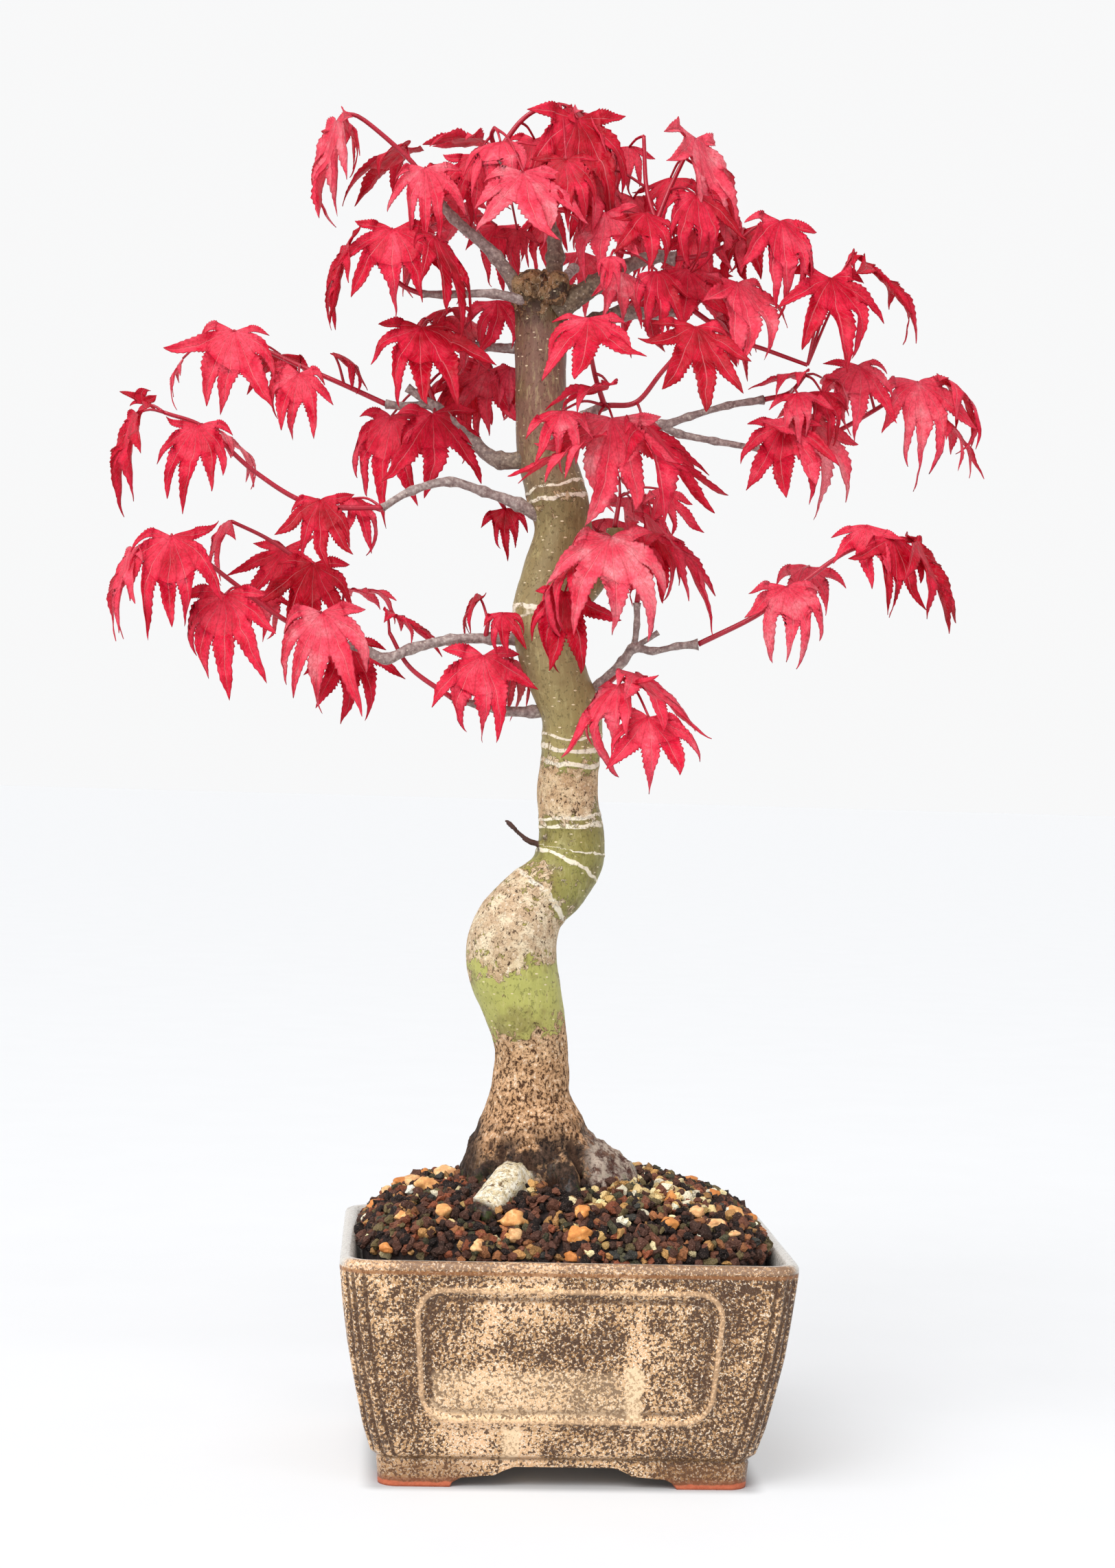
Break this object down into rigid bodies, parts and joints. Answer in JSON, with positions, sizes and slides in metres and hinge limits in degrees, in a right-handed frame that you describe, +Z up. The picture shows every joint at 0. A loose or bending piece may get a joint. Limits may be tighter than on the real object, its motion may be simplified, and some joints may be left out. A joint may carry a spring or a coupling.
{
  "type": "bonsai tree in a pot",
  "caption": "Small red maple grown as a bonsai with a curving trunk and drooping palmate leaves, standing in gritty soil in a rectangular glazed pot on corner feet.",
  "frame": {"origin": "on the ground under the middle of the whole object's box; the middle of the pot is 5 mm to the right of it, at x = +5 mm", "axes": "+Z up, +X to the right seen from the front of the pot, -Y towards the viewer"},
  "size_m": [0.3441, 0.137, 0.5125],
  "materials": {
    "glaze": "speckled tan glaze over stoneware",
    "net": "woven drain mesh",
    "grit": "dark lava grains",
    "pebble": "worn orange-tan pebble",
    "bark": "green and corky young bark",
    "twig": "smooth grey-brown twig bark",
    "leaf": "thin soft red leaf"
  },
  "bodies": {
    "root": {"pot": "glaze", "drain_mesh_left": "net", "drain_mesh_right": "net", "soil": "grit", "pebble_1": "pebble", "pebble_2": "pebble", "pebble_3": "pebble", "pebble_4": "pebble", "trunk": "bark", "branch_apex_left": "twig", "branch_apex_centre": "twig", "branch_apex_right": "twig", "branch_right_high": "twig", "branch_left_upper": "twig", "branch_left_dark": "twig", "branch_left_high": "twig", "branch_left_mid": "twig", "branch_left_low": "twig", "branch_left_lowest": "twig", "branch_right_mid": "twig", "branch_right_low": "twig", "branch_front": "twig", "branch_back_high": "twig", "branch_back_mid": "twig", "branch_back_low": "twig", "shoot_crown_left": "leaf", "shoot_crown_centre": "leaf", "shoot_crown_top": "leaf", "shoot_crown_right": "leaf", "shoot_crown_upright": "leaf", "shoot_crown_front": "leaf", "shoot_upper_left": "leaf", "shoot_upper_left_face": "leaf", "shoot_left_high": "leaf", "shoot_left_high_inner": "leaf", "shoot_left_mid": "leaf", "shoot_left_mid_lower": "leaf", "shoot_left_low": "leaf", "shoot_left_lowest_tip": "leaf", "shoot_left_lowest": "leaf", "shoot_trunk_left": "leaf", "shoot_left_small": "leaf", "shoot_left_back": "leaf", "shoot_front_upper": "leaf", "shoot_right_inner_high": "leaf", "shoot_front_low": "leaf", "shoot_right_inner": "leaf", "shoot_right_inner_back": "leaf", "shoot_low_right_front": "leaf", "shoot_right_low": "leaf", "shoot_right_mid": "leaf", "shoot_right_mid_upper": "leaf", "shoot_right_high": "leaf", "shoot_right_top": "leaf", "shoot_back_crown": "leaf", "shoot_back_crown_left": "leaf", "shoot_back_right": "leaf", "shoot_back_mid": "leaf", "shoot_back_low": "leaf"}
  },
  "joints": []
}
